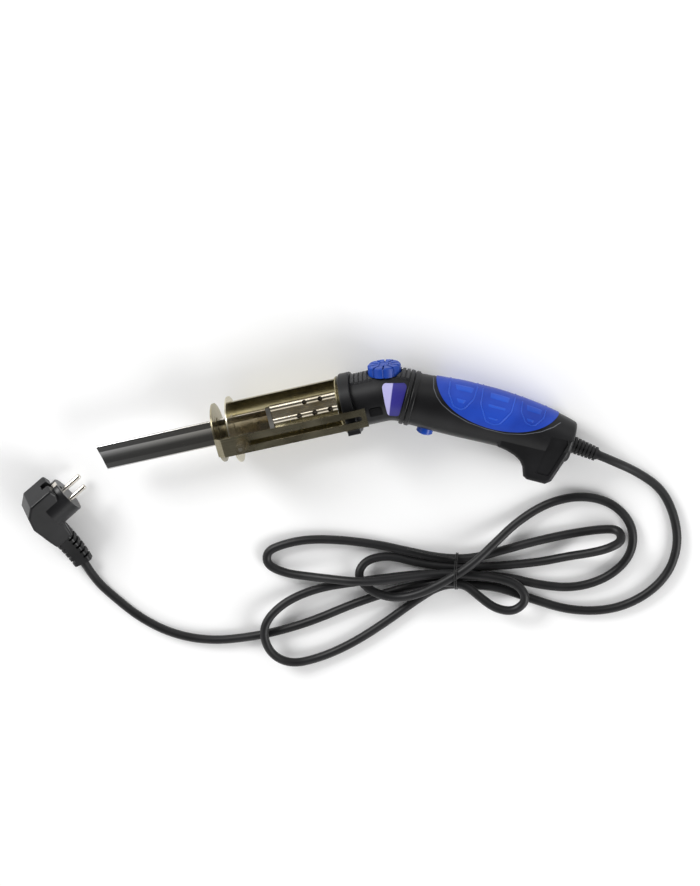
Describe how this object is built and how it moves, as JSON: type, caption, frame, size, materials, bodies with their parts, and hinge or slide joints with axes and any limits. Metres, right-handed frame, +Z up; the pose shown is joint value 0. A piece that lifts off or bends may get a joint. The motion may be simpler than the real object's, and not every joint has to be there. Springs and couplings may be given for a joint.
{
  "type": "hot knife foam cutter",
  "caption": "Mains hot knife for foam: flat blade in a half-round heat shield, sliding depth guide, heat dial, swivel head, angled grip with trigger, bundled cord and plug.",
  "frame": {"origin": "centre of the lying tool's footprint on the surface it rests on, without cord and plug", "axes": "+X from the blade tip towards the cord end, +Y towards the dial side, +Z up"},
  "size_m": [0.6256, 0.3139, 0.0777],
  "materials": {
    "housing_black": "satin moulded",
    "pad_grey": "matt",
    "label_violet": "printed label",
    "dial_blue": "satin",
    "button_blue": "semi-gloss",
    "grip_blue": "soft-touch",
    "zinc_sheet": "yellow zinc",
    "sleeve_metal": "satin",
    "blade_steel": "polished",
    "nut_brass": "knurled",
    "ceramic": "fired ceramic",
    "fastener_steel": "plated",
    "cord_rubber": "matt",
    "tie_wire": "coated wire",
    "plug_black": "satin",
    "nickel": "plated",
    "board_green": "solder mask",
    "component_plastic": "moulded"
  },
  "bodies": {
    "handle": {"board_components": "component_plastic", "control_board": "board_green", "cord_clamp": "component_plastic", "grip_far": "grip_blue", "grip_near": "grip_blue", "handle_screws": "fastener_steel", "handle_shell_far": "housing_black", "handle_shell_near": "housing_black", "plug_body": "plug_black", "plug_earth_clips": "nickel", "plug_pins": "nickel", "power_cord": "cord_rubber", "strain_relief": "cord_rubber", "switch_body": "component_plastic", "swivel_ring": "housing_black", "terminal_block": "component_plastic", "trigger_spring": "fastener_steel", "twist_tie": "tie_wire"},
    "head": {"head_shell_near": "housing_black", "head_shell_far": "housing_black", "head_screws": "fastener_steel", "rib_pads": "pad_grey", "name_plate": "label_violet", "dial_potentiometer": "component_plastic", "collar": "housing_black", "front_flange": "zinc_sheet", "flange_screws": "fastener_steel", "tang_insulator": "ceramic", "tang_pin": "fastener_steel", "heat_shield": "zinc_sheet", "guard_disc": "zinc_sheet", "guide_stud": "zinc_sheet", "heater_sleeve_near": "sleeve_metal", "heater_sleeve_far": "sleeve_metal", "heater_core": "ceramic", "blade_clip": "sleeve_metal", "blade": "blade_steel"},
    "knob": {"control_knob": "dial_blue"},
    "guide": {"guide_arm": "zinc_sheet"},
    "nut": {"thumb_nut": "nut_brass"},
    "trigger": {"trigger_button": "button_blue"}
  },
  "joints": [
    {"name": "head_swivel", "type": "hinge", "parent": "handle", "child": "head", "pos_m": [0.04444, 0.0262, 0.02735], "axis": [0.9692, -0.2417, -0.0463], "range_deg": [0, 90]},
    {"name": "guide_slide", "type": "slide", "parent": "head", "child": "guide", "axis": [-0.9687, -0.2468, 0.0256], "range_m": [0, 0.095]},
    {"name": "thumb_nut_turn", "type": "hinge", "parent": "head", "child": "nut", "pos_m": [-0.09061, -0.01747, 0.06638], "axis": [0.0371, -0.0422, 0.9984], "continuous": true},
    {"name": "knob_turn", "type": "hinge", "parent": "head", "child": "knob", "pos_m": [0.03667, 0.04439, 0.0284], "axis": [-0.0768, 0.996, 0.0449], "range_deg": [0, 270]},
    {"name": "trigger_press", "type": "slide", "parent": "handle", "child": "trigger", "axis": [0.2433, 0.9694, 0.0319], "range_m": [0, 0.0035], "stiffness_N_per_m": 400, "deforming": ["trigger_spring"]}
  ]
}
